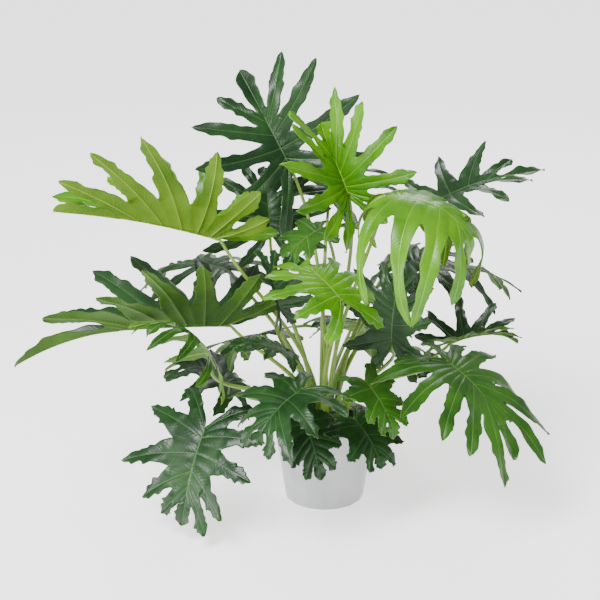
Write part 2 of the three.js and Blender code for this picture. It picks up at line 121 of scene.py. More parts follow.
# %% Lay the floor
FLOOR_HALF = 40.0
FLOOR_DROP = 0.0005  # just under the pot, so that the two don't share a plane
FLOOR_CORNERS = [(-1, -1), (1, -1), (1, 1), (-1, 1)]

floor_mesh = bpy.data.meshes.new("floor")
floor_points = [(FLOOR_HALF * x, FLOOR_HALF * y, -FLOOR_DROP) for x, y in FLOOR_CORNERS]
floor_mesh.from_pydata(floor_points, [], [(0, 1, 2, 3)])
floor = bpy.data.objects.new("floor", floor_mesh)
bpy.context.scene.collection.objects.link(floor)
print("floor:", 2 * FLOOR_HALF, "m wide")

# %% [markdown]
# ## Shader sums in Python
# A material is a tree of nodes. Writing its sums as Python expressions is easier to read than wiring Math
# nodes one by one, so a small class wraps an output socket: adding two of them makes an Add node, and so
# on. Colours are mixed with Mix nodes, because a Math node would turn them grey.

# %% The socket wrapper
class Wire:
    """An output socket of a node tree, for use in sums."""

    def __init__(self, tree, socket):
        self.tree = tree
        self.socket = socket

    def math(self, operation, *others):
        node = self.tree.nodes.new("ShaderNodeMath")
        node.operation = operation
        for slot, value in zip(node.inputs, (self, *others)):
            plug(self.tree, slot, value)
        return Wire(self.tree, node.outputs[0])

    def __add__(self, other):
        return self.math("ADD", other)

    def __mul__(self, other):
        return self.math("MULTIPLY", other)

    def __sub__(self, other):
        return self.math("SUBTRACT", other)

    def __rsub__(self, other):
        return self.math("MULTIPLY_ADD", -1.0, other)

    __radd__ = __add__
    __rmul__ = __mul__

    def smooth(self, low, high):
        """0 below low, 1 above high, with an eased step between."""
        node = self.tree.nodes.new("ShaderNodeMapRange")
        node.interpolation_type = "SMOOTHSTEP"
        for name, value in (("Value", self), ("From Min", low), ("From Max", high)):
            plug(self.tree, node.inputs[name], value)
        return Wire(self.tree, node.outputs["Result"])

    def mix(self, first, second):
        """A colour between first and second, by this value."""
        node = self.tree.nodes.new("ShaderNodeMix")
        node.data_type = "RGBA"
        for slot, value in ((node.inputs[0], self), (node.inputs[6], first), (node.inputs[7], second)):
            plug(self.tree, slot, value)
        return Wire(self.tree, node.outputs[2])


def plug(tree, slot, value):
    """Links a wire to a socket, or sets the socket's own value."""
    if isinstance(value, Wire):
        tree.links.new(value.socket, slot)
    elif isinstance(value, (tuple, list)) and len(value) == 3 and slot.type == "RGBA":
        slot.default_value = (*value, 1.0)
    else:
        slot.default_value = value


print("sums of sockets: add, multiply, subtract, smooth and mix")

# %% The material maker
class Finish:
    """A material under construction."""

    def __init__(self, name):
        self.material = bpy.data.materials.new(name)
        self.material.use_nodes = True
        self.tree = self.material.node_tree
        self.tree.nodes.clear()

    def node(self, kind, settings=None, output=0, **values):
        """Any node: its settings are set first, then its sockets, named with _ for a space."""
        node = self.tree.nodes.new("ShaderNode" + kind)
        for name, value in (settings or {}).items():
            setattr(node, name, value)
        for name, value in values.items():
            plug(self.tree, node.inputs[name.replace("_", " ")], value)
        return Wire(self.tree, node.outputs[output])

    def place(self):
        """The point on the object, in millimetres."""
        point = self.node("TexCoord", output="Object")
        return self.node("VectorMath", {"operation": "SCALE"}, Vector=point, Scale=1000.0)

    def noise(self, at, scale, detail=2.0, roughness=0.5):
        return self.node("TexNoise", Vector=at, Scale=scale, Detail=detail, Roughness=roughness)

    def bump(self, height, strength, distance):
        return self.node("Bump", Height=height, Strength=strength, Distance=distance)

    def surface(self, shader):
        output = self.tree.nodes.new("ShaderNodeOutputMaterial")
        plug(self.tree, output.inputs["Surface"], shader)
        return self.material


print("materials so far:", len(bpy.data.materials))

# %% The floor's material
FLOOR_GLOW = 1.25  # the paper shines a little itself, so that it stays pale all round the plant

backdrop = Finish("studio floor")
grain = backdrop.noise(backdrop.place(), 0.02)
floor_colour = grain.mix((0.95, 0.95, 0.95), (0.97, 0.97, 0.97))
paper = backdrop.node("BsdfPrincipled", Base_Color=floor_colour, Roughness=0.9)
paper.socket.node.inputs["Emission Color"].default_value = (1.0, 1.0, 1.0, 1.0)
paper.socket.node.inputs["Emission Strength"].default_value = FLOOR_GLOW
floor_mesh.materials.append(backdrop.surface(paper))
print("floor material:", floor_mesh.materials[0].name)

# %% [markdown]
# ## The leaves on paper
# Every leaf is described by its heel, where the stalk meets the blade, by the end of its midrib, and by how
# its lobes are cut. The numbers are those of the CAD frame, in millimetres, so that each fine leaf grows in
# the place of its plain one. Five patterns of lobes are enough: deep straps, the crowded straps of a fan,
# hanging straps, the broader lobes of most grown leaves, and the small leaves that are nearly whole. Angles
# are in degrees from the midrib, and starts, reaches and cuts are shares of the midrib, of the leaf's reach
# and of the lobe.

# %% The patterns of lobes
CUTS = {
    "deep": {
        "start": [0, 0.08, 0.2, 0.36, 0.52],
        "angle": [150, 116, 88, 64, 42],
        "reach": [0.78, 1, 1, 0.88, 0.66],
        "cut": [0.24, 0.2, 0.2, 0.22, 0.3],
        "tip_start": 0.62,
        "strap": 10.5,
        "lobules": 0.28,
        "blunt": 5,
    },
    "palm": {
        "start": [0, 0.05, 0.12, 0.2, 0.3, 0.42],
        "angle": [150, 122, 96, 72, 50, 28],
        "reach": [0.62, 0.85, 1, 1, 0.95, 0.85],
        "cut": [0.34, 0.32, 0.32, 0.34, 0.36, 0.42],
        "tip_start": 0.52,
        "strap": 11.5,
        "lobules": 0.3,
        "blunt": 4,
    },
    "hanging": {
        "start": [0, 0.08, 0.2, 0.36, 0.52],
        "angle": [150, 116, 88, 64, 42],
        "reach": [0.7, 0.95, 1, 0.95, 0.75],
        "cut": [0.26, 0.22, 0.22, 0.24, 0.3],
        "tip_start": 0.62,
        "strap": 8.5,
        "lobules": 0.2,
        "blunt": 5,
    },
    "adult": {
        "start": [0, 0.11, 0.26, 0.43, 0.58],
        "angle": [142, 108, 80, 60, 42],
        "reach": [0.74, 0.94, 1, 0.86, 0.62],
        "cut": [0.44, 0.4, 0.4, 0.42, 0.5],
        "tip_start": 0.68,
        "strap": 15,
        "lobules": 0.4,
        "blunt": 2.4,
    },
    "broad": {
        "start": [0, 0.17, 0.36, 0.56],
        "angle": [138, 98, 68, 46],
        "reach": [0.76, 1, 0.94, 0.72],
        "cut": [0.62, 0.6, 0.58, 0.62],
        "tip_start": 0.68,
        "strap": 17,
        "lobules": 0.3,
        "blunt": 3,
    },
}
print("patterns of lobes:", list(CUTS))


# %% The leaves
def leaf(name, pattern, heel, tip, reach, roll=0, fold=10, bow=0.08, limp=0.6, crowd=1):
    return {
        "name": name,
        "pattern": pattern,
        "heel": np.array(heel, float),
        "tip": np.array(tip, float),
        "reach": reach,
        "roll": math.radians(roll),
        "fold": math.radians(fold),
        "bow": bow,
        "limp": limp,
        "crowd": crowd,
    }


LEAVES = [
    leaf("top_left", "deep", (-65, 140, 595), (-155, 240, 745), 180, roll=40, fold=25, limp=0.4, crowd=0.8),
    leaf(
        "left_raised", "palm", (-185, -40, 508), (-490, -40, 558), 190,
        roll=-20, fold=50, bow=0.03, limp=0.3, crowd=1.1,
    ),
    leaf("crown", "palm", (40, -18, 580), (-15, 35, 695), 154, roll=32, fold=47, limp=0.3),
    leaf(
        "right_hanging", "hanging", (100, -121, 610), (250, -172, 465), 221,
        roll=-12, fold=0, bow=0.3, limp=1.6,
    ),
    leaf("top_right", "deep", (190, 130, 520), (405, 160, 575), 128, roll=-12, fold=15, limp=0.3),
    leaf("centre", "adult", (25, -190, 445), (-50, -100, 490), 122, fold=12, bow=0.05, limp=0.9),
    leaf(
        "far_left", "palm", (-170, -30, 345), (-545, -70, 325), 184,
        roll=-10, fold=50, bow=0.02, limp=0.3,
    ),
    leaf("mid_left", "adult", (-80, -85, 390), (-120, -75, 495), 70, roll=20, fold=30, limp=0.4),
    leaf("left_drooping", "hanging", (-200, -98, 305), (-310, -155, 400), 124, fold=0, bow=0.15, limp=1.5),
    leaf("low_left", "adult", (-210, -140, 195), (-250, -205, 25), 132, fold=8, limp=0.5),
    leaf("low_left_back", "adult", (-165, 30, 205), (-295, 50, 245), 115, limp=0.7),
    leaf("low_centre", "adult", (-40, -200, 290), (-120, -260, 210), 125, bow=0.12),
    leaf("mid_centre", "adult", (-65, -98, 320), (-170, -121, 340), 73),
    leaf("pot_left", "broad", (-45, -125, 215), (-10, -168, 100), 74, limp=0.4),
    leaf("pot_right", "broad", (50, -112, 200), (100, -165, 125), 72, limp=0.5),
    leaf("low_right", "palm", (210, -120, 310), (320, -205, 170), 172, fold=5, bow=0.12, limp=0.6),
    leaf("mid_right", "deep", (235, 70, 275), (360, 70, 285), 110, fold=35, limp=0.4),
    leaf("dark_right", "adult", (120, -20, 300), (140, 10, 450), 110, fold=15, limp=0.5),
    leaf("small_right", "broad", (68, -115, 272), (122, -168, 188), 68, limp=0.5),
    leaf("heart", "broad", (-5, 5, 515), (-75, -38, 465), 64, limp=0.4),
    leaf("inner_right", "adult", (140, 130, 400), (250, 160, 420), 130),
    leaf("inner_left", "deep", (-100, 140, 465), (-115, 230, 575), 128, limp=0.5),
    leaf("back_top", "deep", (10, 200, 520), (50, 400, 540), 152, limp=0.6),
    leaf("back_right", "deep", (195, 230, 365), (365, 360, 300), 160, limp=0.8),
    leaf("back_left", "deep", (-180, 210, 370), (-350, 340, 320), 165, limp=0.8),
    leaf("back_low_right", "adult", (60, 235, 260), (105, 390, 130), 125, limp=0.7),
    leaf("back_low_left", "adult", (-115, 210, 240), (-195, 345, 120), 125, limp=0.7),
    leaf("right_low_back", "adult", (210, 100, 220), (350, 150, 90), 130, limp=0.7),
]
YOUNG = ["left_raised", "crown", "right_hanging", "centre"]
HALF_GROWN = ["heart", "small_right", "low_right", "left_drooping"]
print("leaves:", len(LEAVES))

# %% [markdown]
# ## The curves of a leaf
# The midrib is a shallow arch from heel to tip. Each lobe has a vein of its own that leaves the midrib at
# an angle and droops along a circular arc. The two classes below give points and directions on those
# curves, for whole arrays of positions at once, because numpy is much faster than a Python loop over
# vertices.

# %% The midrib
UP = np.array([0.0, 0.0, 1.0])


def unit(vectors):
    return vectors / np.linalg.norm(vectors, axis=-1, keepdims=True)


def vary(number, lobe, purpose):
    """A value between -1 and 1 that is always the same for one leaf, lobe and purpose."""
    k = number * 71 + lobe * 37 + purpose * 11 + 13
    return (k**3 + 7 * k) % 1009 / 504 - 1


class Midrib:
    """The blade's own frame: points on the midrib, and the directions along, across and out of it."""

    def __init__(self, leaf):
        self.heel = leaf["heel"]
        self.chord = leaf["tip"] - leaf["heel"]
        self.long = np.linalg.norm(self.chord)
        along = self.chord / self.long
        level = unit(UP - along * UP.dot(along))
        self.lift = level * math.cos(leaf["roll"]) + np.cross(level, along) * math.sin(leaf["roll"])
        self.left = np.cross(self.lift, along)
        self.arch = leaf["bow"] * self.long

    def point(self, s):
        s = np.asarray(s, float)[..., None]
        return self.heel + self.chord * s + self.lift * (4 * self.arch * s * (1 - s))

    def forward(self, s):
        s = np.asarray(s, float)[..., None]
        return unit(self.chord + self.lift * (4 * self.arch * (1 - 2 * s)))

    def out(self, s):
        return np.cross(self.forward(s), self.left)


print("longest midrib:", round(max(Midrib(item).long for item in LEAVES)), "mm")

# %% Veins of the lobes
HEEL_LONG = 6.0  # mm of midrib before the first lobe may start
WAVE = 3.5  # mm that a long lobe swings out of its plane
TIP_BROADER = 0.45  # how much broader than the others the tip lobe grows
ANGLE_VARIES = 0.045
REACH_VARIES = 0.14
LIMP_VARIES = 0.25
CURL = 0.12  # how far a lobe bends forward in its own plane, as a share of its reach
CURL_VARIES = 0.08


class Vein:
    """A lobe's vein. Side 1 is left of the midrib, -1 is right of it and 0 is the tip lobe."""

    def __init__(self, leaf, number, midrib, slot, pairs):
        cuts = CUTS[leaf["pattern"]]
        self.side = (slot < pairs) - (slot > pairs)
        self.slot = slot

        # Where the lobe leaves the midrib, how far it reaches and how broad and wavy it is.
        pair = min(slot, 2 * pairs - slot)
        is_tip = slot == pairs
        start = leaf["crowd"] * (cuts["tip_start"] if is_tip else cuts["start"][pair])
        self.start = max(HEEL_LONG / midrib.long, start)
        share = 1 - leaf["crowd"] * cuts["tip_start"]
        self.base_reach = midrib.long * share if is_tip else leaf["reach"] * cuts["reach"][pair]
        self.base_angle = 0.0 if is_tip else math.radians(cuts["angle"][pair])
        self.strap = cuts["strap"] * min(1.25, max(0.6, leaf["reach"] / 150))
        self.broader = TIP_BROADER if is_tip else 0.0
        self.fold = leaf["fold"] if is_tip else 0.0
        self.wave = WAVE * min(1, leaf["reach"] / 130)
        self.wave_start = 5 * vary(number, slot, 4)

        # Its own directions: the two halves of a blade are folded up along the midrib.
        fold = leaf["fold"]
        forward, out = midrib.forward(self.start), midrib.out(self.start)
        lateral = midrib.left * (self.side * math.cos(fold)) + out * math.sin(fold)
        angle = self.base_angle * (1 + ANGLE_VARIES * vary(number, slot, 1))
        self.along = unit(forward * math.cos(angle) + lateral * math.sin(angle))
        face = unit(out * math.cos(fold) - midrib.left * (self.side * math.sin(fold)))
        self.across = unit(np.cross(face, self.along))
        self.normal = np.cross(self.along, self.across)

        # A lobe that lies flat droops more than one that stands on edge.
        self.reach = self.base_reach * (1 + REACH_VARIES * vary(number, slot, 2))
        limp = leaf["limp"] + LIMP_VARIES * vary(number, slot, 3)
        self.bend = max(0.05, limp * max(0.15, self.normal[2] + 0.2))
        self.curl = CURL * self.side + CURL_VARIES * vary(number, slot, 6)
        self.origin = midrib.point(self.start)

    def point(self, t):
        t = np.asarray(t, float)[..., None]
        run = self.along * (self.reach * np.sin(self.bend * t) / self.bend)
        drop = self.normal * (-self.reach * (1 - np.cos(self.bend * t)) / self.bend)
        return self.origin + run + drop - self.across * (self.curl * self.reach * t * t)

    def out(self, t):
        t = np.asarray(t, float)[..., None]
        return self.normal * np.cos(self.bend * t) + self.along * np.sin(self.bend * t)


def veins_of(leaf, number, midrib):
    """The lobes' veins in order round the outline, and where the gaps beside each of them end."""
    cuts = CUTS[leaf["pattern"]]
    pairs = len(cuts["start"])
    veins = [Vein(leaf, number, midrib, slot, pairs) for slot in range(2 * pairs + 1)]
    for slot, vein in enumerate(veins):
        vein.cut_before = 0.0 if slot == 0 else cuts["cut"][min(slot - 1, 2 * pairs - slot)]
        vein.cut_after = 0.0 if slot == 2 * pairs else cuts["cut"][min(slot, 2 * pairs - 1 - slot)]
    tip, beside = veins[pairs], veins[pairs - 1]
    level = beside.cut_after * beside.base_reach * math.cos(beside.base_angle)
    tip.cut_before = max(0.06, ((beside.start - tip.start) * midrib.long + level) / tip.base_reach)
    tip.cut_after = tip.cut_before
    return veins


print("lobes of the first leaf:", len(veins_of(LEAVES[0], 0, Midrib(LEAVES[0]))))

# %% [markdown]
# ## From curves to a blade
# A blade is built lobe by lobe. Each lobe is a grid of points: rows run out along its vein, and columns run
# from its left margin over the vein to its right margin. Inside the blade, the margins of two neighbouring
# lobes are one shared line half way between their veins. Beyond the end of that line, the gap opens with a
# rounded bottom and each margin goes its own way, with ruffles and small forward-pointing lobules.

# %% The free margin of a lobe
SHOULDER = 0.6  # the share of a free lobe over which it narrows from the web to its strap


def ease(x):
    x = np.clip(x, 0, 1)
    return x * x * (3 - 2 * x)


def strap_share(u, blunt):
    """A free lobe's half width, in straps. A higher blunt gives it a rounder end."""
    return (0.72 + 0.5 * u) * np.clip(1 - u**blunt, 0, 1) ** 0.75


def lobules(u, count, seed, number):
    """Soft forward-leaning bumps along a margin, from 0 to 1."""
    total = np.zeros_like(u)
    for k in range(count):
        middle = 0.3 + 0.56 * (k + 0.5) / count + 0.07 * vary(number, seed, 20 + k)
        wide = 0.4 / count * (1 + 0.25 * vary(number, seed, 30 + k))
        x = (u - middle) / wide
        rise = ease(1 + x) * (x < 0) + ease(1 - x / 0.7) * (x >= 0)
        total = np.maximum(total, rise * (0.7 + 0.3 * vary(number, seed, 40 + k)))
    return total


def free_margin(vein, number, u, t, side, web=0.0, amount=0.0, blunt=5):
    """The free margin of a lobe beyond its gap. The lobe starts broader than its strap, by web."""
    # Half the lobe's width: the strap, what is left of the web, and a little unevenness.
    half = vein.strap * strap_share(u, blunt) * (1 + vein.broader * np.minimum(1, 1.5 * t))
    half = half + web * np.clip(1 - u / SHOULDER, 0, 1) ** 1.5
    seed = vein.slot * 2 + (side > 0)
    count = 3 if vein.reach > 120 else 2
    bumps = amount * vein.strap * lobules(u, count, seed, number)
    uneven = 0.10 * np.sin(11 * u + 6 * vary(number, seed, 7))
    uneven = uneven + 0.05 * np.sin(23 * u + 6 * vary(number, seed, 8))
    half = half * (1 + uneven * ease(4 * u) * (1 if amount else 0))

    # The margin swings in and out of the blade's plane, and is ruffled.
    swing = vein.wave * np.sin(7 * t + 2 * side + vein.wave_start)
    ruffle = 0.22 * vein.wave * np.sin(19 * t + 3 * side + 9 * vary(number, seed, 5)) * ease(3 * u)
    half = half + bumps
    offset = vein.across * (side * half * math.cos(vein.fold))[:, None]
    offset = offset + vein.out(t) * (swing + ruffle + half * math.sin(vein.fold))[:, None]
    tangent = unit(np.gradient(vein.point(t), axis=0))
    return vein.point(t) + offset + tangent * (0.5 * bumps)[:, None]


print("a lobe narrows over", SHOULDER, "of its free length")

# %% Rows of a lobe
INNER_ROWS = 9
OUTER_ROWS = 30
COLUMNS = np.array([-1, -0.86, -0.66, -0.44, -0.24, -0.09, 0, 0.09, 0.24, 0.44, 0.66, 0.86, 1])
ROUND_GAP = 0.1  # the share of the free lobe in which the gap's rounded bottom opens
HEEL_GAP = 0.12  # the same for the lobe's outer side at the heel, where it has no neighbour


def lobe_rows(veins, number, vein, heel_corner, between, cuts):
    """Left margin, vein and right margin of one lobe, row by row, and each row's place on the vein."""
    last = len(veins) - 1
    cut = (vein.cut_before + vein.cut_after) / (1 if vein.slot in (0, last) else 2)
    # The powers crowd the rows towards the midrib and towards the gap, where the outline turns fastest.
    q = np.linspace(0, 1, INNER_ROWS) ** 1.3
    u = np.linspace(0, 1, OUTER_ROWS + 1)[1:] ** 1.1
    free_t = cut + (1 - cut) * u
    t = np.concatenate([q * cut, free_t])
    centre = vein.point(t)
    foot = vein.point(cut)
    margins = []
    for side, other_slot in ((1, vein.slot - 1), (-1, vein.slot + 1)):
        if 0 <= other_slot <= last:
            other = veins[other_slot]
            mine = vein.cut_before if side == 1 else vein.cut_after
            theirs = other.cut_after if side == 1 else other.cut_before
            shared = (vein.point(q * mine) + other.point(q * theirs)) / 2
            shared[0] = between[min(vein.slot, other_slot)]
            web = max(0.0, np.linalg.norm(shared[-1] - foot) - vein.strap)
            free = free_margin(vein, number, u, free_t, side, web, cuts["lobules"], cuts["blunt"])
            opening = np.sqrt(1 - (1 - np.clip(u / ROUND_GAP, 0, 1)) ** 2)[:, None]
            free = shared[-1] + (free - shared[-1]) * opening
        else:
            free = free_margin(vein, number, u, free_t, side, 0, cuts["lobules"], cuts["blunt"])
            edge = free_margin(vein, number, np.zeros_like(q), q * cut, side)
            drawn = vein.point(q * cut) + (edge - vein.point(q * cut)) * 0.8
            shared = heel_corner[side] + (drawn - heel_corner[side]) * ease(q * 1.6)[:, None]
            opening = ease(u / HEEL_GAP)[:, None]
            start = shared[-1] - foot
            bare = vein.point(free_t)
            free = bare + start * (1 - opening) + (free - bare) * opening
        margins.append(np.concatenate([shared, free]))
    return margins[0], centre, margins[1], t, cut


print("points in a lobe:", (INNER_ROWS + OUTER_ROWS) * len(COLUMNS))

# %% [markdown]
# ## Relief
# A flat sheet would look like paper. Between two veins the blade puffs up, along each vein it is pressed in
# on the upper face, and underneath the veins stand out as ribs that are thick near the heel. The blade is
# made of two sheets, an upper and a lower one, less than a millimetre apart between the veins, so that both
# faces can have their own finish.

# %% The relief of a lobe
PUFF = 1.6  # mm that the blade rises between two veins
RIB_DEEP = 2.4  # mm that a lobe's vein stands out underneath, at its start
MIDRIB_SHARE = 1.4  # how much deeper than that the midrib is, at the heel
GROOVE_DEEP = 0.35  # mm that a vein is pressed in on the upper face
QUILT = 0.22  # mm of the small waves between side veins
TROUGH = 0.10  # how far a free lobe's margins stand above its vein, as a share of its half width
RIB_HALF = 1.6  # mm, half the width of a vein underneath
GROOVE_HALF = 1.3  # mm, the same on the upper face
MIDRIB_HALF = 2.6  # mm, the same of the midrib underneath
INSIDE = 30.0  # mm, the distance from the margin that is written down well inside the blade


def lobe_grid(veins, number, vein, heel_corner, between, cuts):
    """The points of one lobe, with their relief and surface coordinates."""
    left, centre, right, t, cut = lobe_rows(veins, number, vein, heel_corner, between, cuts)
    w = COLUMNS[None, :, None]
    to_left, to_right = (left - centre)[:, None], (right - centre)[:, None]
    grid = centre[:, None] + np.where(w < 0, to_left * -w, to_right * w)
    out = unit(vein.out(t))[:, None, :]
    half = np.where(COLUMNS[None, :] < 0, np.linalg.norm(left - centre, axis=1)[:, None], 0)
    half = half + np.where(COLUMNS[None, :] > 0, np.linalg.norm(right - centre, axis=1)[:, None], 0)
    away = np.abs(COLUMNS)[None, :]
    across = half * COLUMNS[None, :]
    along = (t * vein.reach)[:, None] + 0 * across
    inner = 1 - ease((t - cut) / (0.25 * (1 - cut) + 1e-6))[:, None]
    start = ease(along / 18)
    size = min(1, vein.strap / 10)
    puff = PUFF * size * np.sin(np.pi * away) ** 0.8 * start * (0.5 + 0.5 * inner)
    channel = TROUGH * half * away**1.6 * (1 - inner)
    lateral = np.abs(across) * 0.9
    quilt = QUILT * size * np.sin((along - lateral) * 0.8) * np.sin(np.pi * away) * start
    grid = grid + out * (puff + channel + quilt)[..., None]
    edge = (1 - away) * half + INSIDE * inner

    # Underneath, ribs stand out along the lobe's vein and along the midrib.
    rib = RIB_DEEP * size * (1 - 0.8 * t)[:, None] * np.exp(-((np.abs(across) / (RIB_HALF * size)) ** 2))
    main = MIDRIB_SHARE * RIB_DEEP * (1 - vein.start) * np.exp(-((along / MIDRIB_HALF) ** 2))
    deep = np.maximum(rib * ease(along / 4 + 0.4), main)
    deep = deep * np.clip((1 - t)[:, None] * 6, 0, 1)
    groove = GROOVE_DEEP * size * np.exp(-((np.abs(across) / GROOVE_HALF) ** 2)) * (1 - 0.6 * t)[:, None]
    return grid, np.broadcast_to(out, grid.shape), deep, groove, across, along, edge, t[:, None] + 0 * across


print("a vein stands out by up to", RIB_DEEP, "mm")

# %% Build one blade
NECK_HALF = 2.0  # mm from the middle of the heel to its corners


def weld(points, faces):
    """Joins vertices that lie in the same place."""
    keys = np.round(points / 1e-3).astype(np.int64)
    _, first, back = np.unique(keys, axis=0, return_index=True, return_inverse=True)
    return first, back.reshape(-1)[faces]


def build_blade(leaf, number):
    """The vertices, faces and surface coordinates of a blade, in millimetres."""
    midrib = Midrib(leaf)
    veins = veins_of(leaf, number, midrib)
    pairs = len(veins) // 2
    heel = midrib.point(0.0)
    fold = leaf["fold"]
    heel_corner = {
        side: heel + (midrib.left * (side * math.cos(fold)) + midrib.out(0.0) * math.sin(fold)) * NECK_HALF
        for side in (1, -1)
    }
    between = []
    for slot in range(2 * pairs):
        between.append(midrib.point((veins[slot].start + veins[slot + 1].start) / 2))
    points, faces, lobe_uv, reach_uv, outs, deeps, grooves = [], [], [], [], [], [], []
    total = 0
    cuts = CUTS[leaf["pattern"]]
    for vein in veins:
        made = lobe_grid(veins, number, vein, heel_corner, between, cuts)
        grid, out, deep, groove, across, along, edge, t = made
        rows, columns = grid.shape[:2]
        index = np.arange(rows * columns).reshape(rows, columns) + total
        a, b, c, d = index[:-1, :-1], index[1:, :-1], index[1:, 1:], index[:-1, 1:]
        faces.append(np.stack([a, d, c, b], -1).reshape(-1, 4))
        points.append(grid.reshape(-1, 3))
        outs.append(out.reshape(-1, 3))
        deeps.append(deep.reshape(-1))
        grooves.append(groove.reshape(-1))
        lobe_uv.append(np.stack([across, along], -1).reshape(-1, 2))
        reach_uv.append(np.stack([edge, t], -1).reshape(-1, 2))
        total += rows * columns
    # A last triangle closes the heel between its two corners and the first lobe.
    points.append(np.array([heel_corner[1], heel_corner[-1], midrib.point(veins[0].start)]))
    outs.append(np.tile(midrib.out(0.0), (3, 1)))
    deeps.append(np.full(3, 1.2 * RIB_DEEP))
    grooves.append(np.zeros(3))
    lobe_uv.append(np.zeros((3, 2)))
    reach_uv.append(np.tile([INSIDE, 0.0], (3, 1)))
    return {
        "points": np.concatenate(points),
        "faces": np.concatenate(faces),
        "heel_face": np.arange(3) + total,
        "outs": np.concatenate(outs),
        "deep": np.concatenate(deeps),
        "groove": np.concatenate(grooves),
        "lobe": np.concatenate(lobe_uv),
        "reach": np.concatenate(reach_uv),
    }


print("points in the first blade:", len(build_blade(LEAVES[0], 0)["points"]))

# %% Two sheets from one
BLADE_THICK = 0.7  # mm
UV_SCALE = 100.0  # mm to one unit of a surface coordinate


def sheet_normals(points, quads, outs):
    """The direction out of the sheet at every point, from the faces round it."""
    from_first = points[quads[:, 2]] - points[quads[:, 0]]
    from_second = points[quads[:, 3]] - points[quads[:, 1]]
    diagonals = np.cross(from_first, from_second)
    normals = np.zeros_like(points)
    for column in range(4):
        np.add.at(normals, quads[:, column], diagonals)
    return unit(normals + 1e-6 * outs)


def blade_object(leaf, number, upper, under):
    """The blade as one mesh of two sheets and the thin wall between them."""
    sheet = build_blade(leaf, number)
    first, quads = weld(sheet["points"], sheet["faces"])
    _, heel_face = weld(sheet["points"], sheet["heel_face"])
    points, outs = sheet["points"][first], sheet["outs"][first]
    deep, groove = sheet["deep"][first], sheet["groove"][first]
    loops, corners = [], []
    for welded, source in zip(quads.tolist(), sheet["faces"].tolist()):
        kept = [i for i in range(4) if welded[i] != welded[i - 1]]
        if len(kept) > 2:
            loops.append([welded[i] for i in kept])
            corners.extend(source[i] for i in kept)
    loops.append(heel_face.tolist())
    corners.extend(sheet["heel_face"].tolist())

    # The upper sheet, the lower one turned over, and a wall round the rim.
    normals = sheet_normals(points, quads, outs)
    count = len(points)
    top = points + normals * (BLADE_THICK / 2 - groove)[:, None]
    bottom = points - normals * (BLADE_THICK / 2 + deep)[:, None]
    edges = {(a, b) for loop in loops for a, b in zip(loop, loop[1:] + loop[:1])}
    rim = sorted((a, b) for a, b in edges if (b, a) not in edges)
    lower_loops = [[v + count for v in reversed(loop)] for loop in loops]
    walls = [[b, a, a + count, b + count] for a, b in rim]

    # The surface coordinates follow the corners of the faces, in the same order.
    ends = np.cumsum([len(loop) for loop in loops])
    corners = np.array(corners)
    lower_corners = np.concatenate([part[::-1] for part in np.split(corners, ends[:-1])])
    rim_corners = np.array([[first[b], first[a], first[a], first[b]] for a, b in rim]).reshape(-1)
    all_corners = np.concatenate([corners, lower_corners, rim_corners])

    mesh = bpy.data.meshes.new(leaf["name"] + "_leaf")
    mesh.from_pydata((np.concatenate([top, bottom]) * MM).tolist(), [], loops + lower_loops + walls)
    for name in ("lobe", "reach"):
        layer = mesh.uv_layers.new(name=name)
        layer.data.foreach_set("uv", (sheet[name][all_corners] / UV_SCALE).reshape(-1))
    for finish in (upper, under):
        mesh.materials.append(finish)
    slots = np.zeros(len(mesh.polygons), int)
    slots[len(loops):] = 1
    mesh.polygons.foreach_set("material_index", slots)
    mesh.polygons.foreach_set("use_smooth", np.ones(len(mesh.polygons), bool))
    mesh.update()
    piece = bpy.data.objects.new(leaf["name"] + "_leaf", mesh)
    bpy.context.scene.collection.objects.link(piece)
    return piece


print("a blade is", BLADE_THICK, "mm thick between its veins")

# %% [markdown]
# ## Leaf finishes
# Young leaves of this plant are a bright yellow-green, grown ones a deep green with a soft, cool gloss, and
# half grown ones lie between. On all of them, the veins are paler than the blade, the margin has a thin
# pale line, and the lower face is lighter and duller. The two surface coordinates that were stored with the
# blade give the distance from the lobe's vein, the place along it, and the distance from the margin, all in
# millimetres.

# %% The leaf material
SIDE_VEIN_STEP = 7.0  # mm between two side veins


